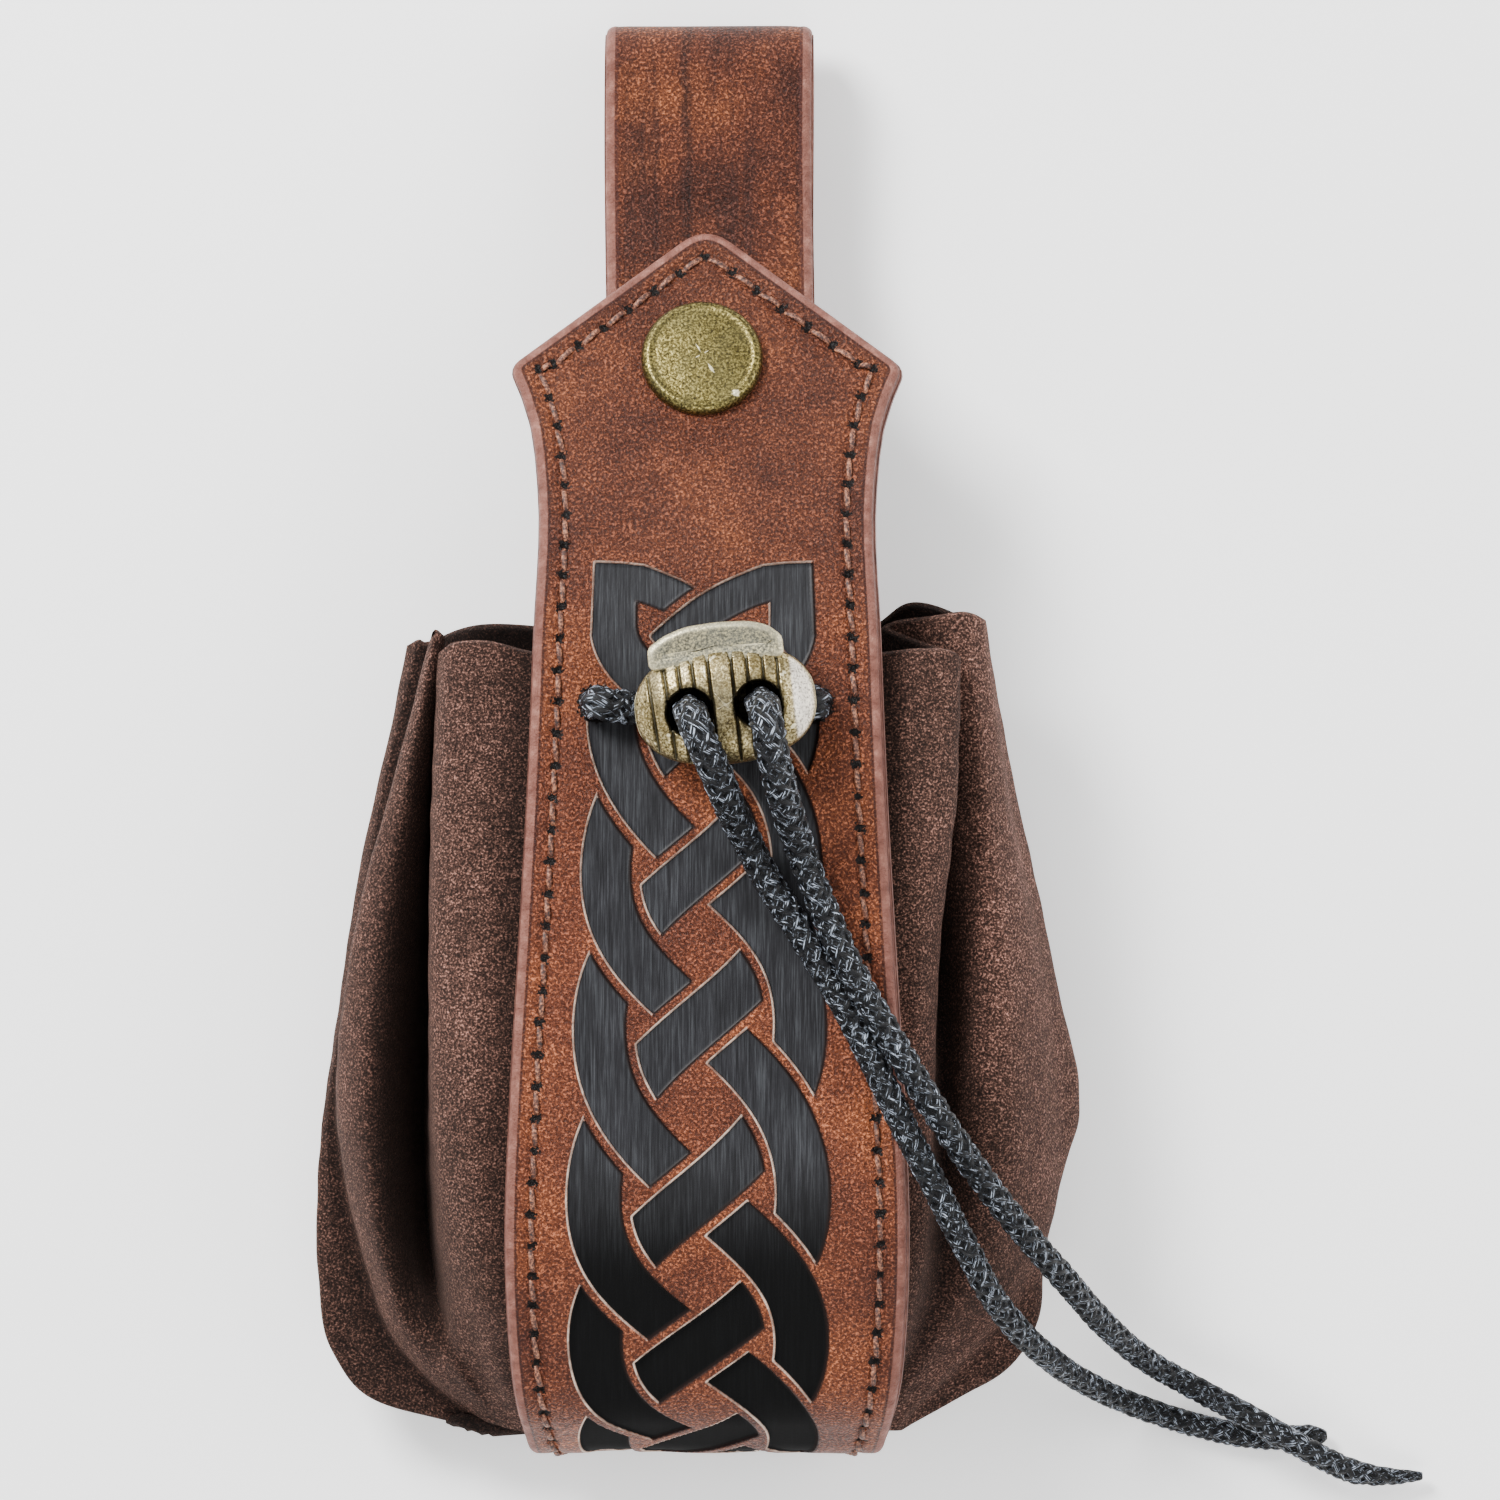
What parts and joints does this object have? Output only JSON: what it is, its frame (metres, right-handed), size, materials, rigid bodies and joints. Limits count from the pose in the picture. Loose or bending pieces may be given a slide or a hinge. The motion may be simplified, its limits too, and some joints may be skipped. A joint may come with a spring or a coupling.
{
  "type": "drawstring dice bag",
  "caption": "Suede dice pouch in a pointed leather strap with a belt loop, snap, braid pattern and drawstring lock, lying on its back.",
  "frame": {"origin": "on the resting plane, under the centre of the bag's box measured without its drawstring", "axes": "+Z out of the bag's front, +Y from its bottom to the belt loop, +X to its right seen from the front"},
  "size_m": [0.1381, 0.1843, 0.057],
  "materials": {
    "strap_leather": "waxed brown leather, fine grain",
    "lining_leather": "plain brown split leather",
    "loop_leather": "waxed brown leather, streaked",
    "suede": "dark brown suede nap",
    "thread": "waxed thread",
    "brass": "antiqued, mottled",
    "cord": "black waxed braid",
    "spring_steel": "drawn wire"
  },
  "bodies": {
    "pouch": {"pouch_shell": "suede", "back_strap_outer": "strap_leather", "back_strap_lining": "lining_leather", "back_stitching": "thread", "belt_loop": "loop_leather", "loop_rivet_posts": "brass", "loop_rivet_caps": "brass", "mouth_cord": "cord"},
    "front_strap": {"front_strap_outer": "strap_leather", "front_strap_lining": "lining_leather", "front_stitching": "thread", "snap_cap": "brass", "snap_socket": "brass", "cord_feed_left": "cord", "cord_feed_right": "cord"},
    "loop_tab": {"belt_loop_tab": "loop_leather", "snap_stud": "brass", "snap_post": "brass"},
    "cord_lock": {"lock_body": "brass", "lock_spring": "spring_steel", "cord_tail_left": "cord", "cord_tail_right": "cord"},
    "lock_plunger": {"lock_plunger": "brass"}
  },
  "joints": [
    {"name": "front_strap_swing", "type": "hinge", "parent": "pouch", "child": "front_strap", "pos_m": [0, -0.0896, 0.012], "axis": [1, 0, 0], "range_deg": [0, 100]},
    {"name": "belt_loop_tab_swing", "type": "hinge", "parent": "pouch", "child": "loop_tab", "pos_m": [0.0005, 0.0843, 0.0129], "axis": [-1, 0, 0], "range_deg": [0, 40]},
    {"name": "cord_lock_slide", "type": "slide", "parent": "front_strap", "child": "cord_lock", "axis": [0, 0, 1], "range_m": [0, 0.02]},
    {"name": "plunger_press", "type": "slide", "parent": "cord_lock", "child": "lock_plunger", "axis": [0.1115, -0.9938, 0], "range_m": [0, 0.002], "stiffness_N_per_m": 500, "springref_m": -0.004, "deforming": ["lock_spring"]}
  ],
  "couplings": [
    {"joint": "belt_loop_tab_swing", "follows": "front_strap_swing", "ratio": 0.4}
  ]
}
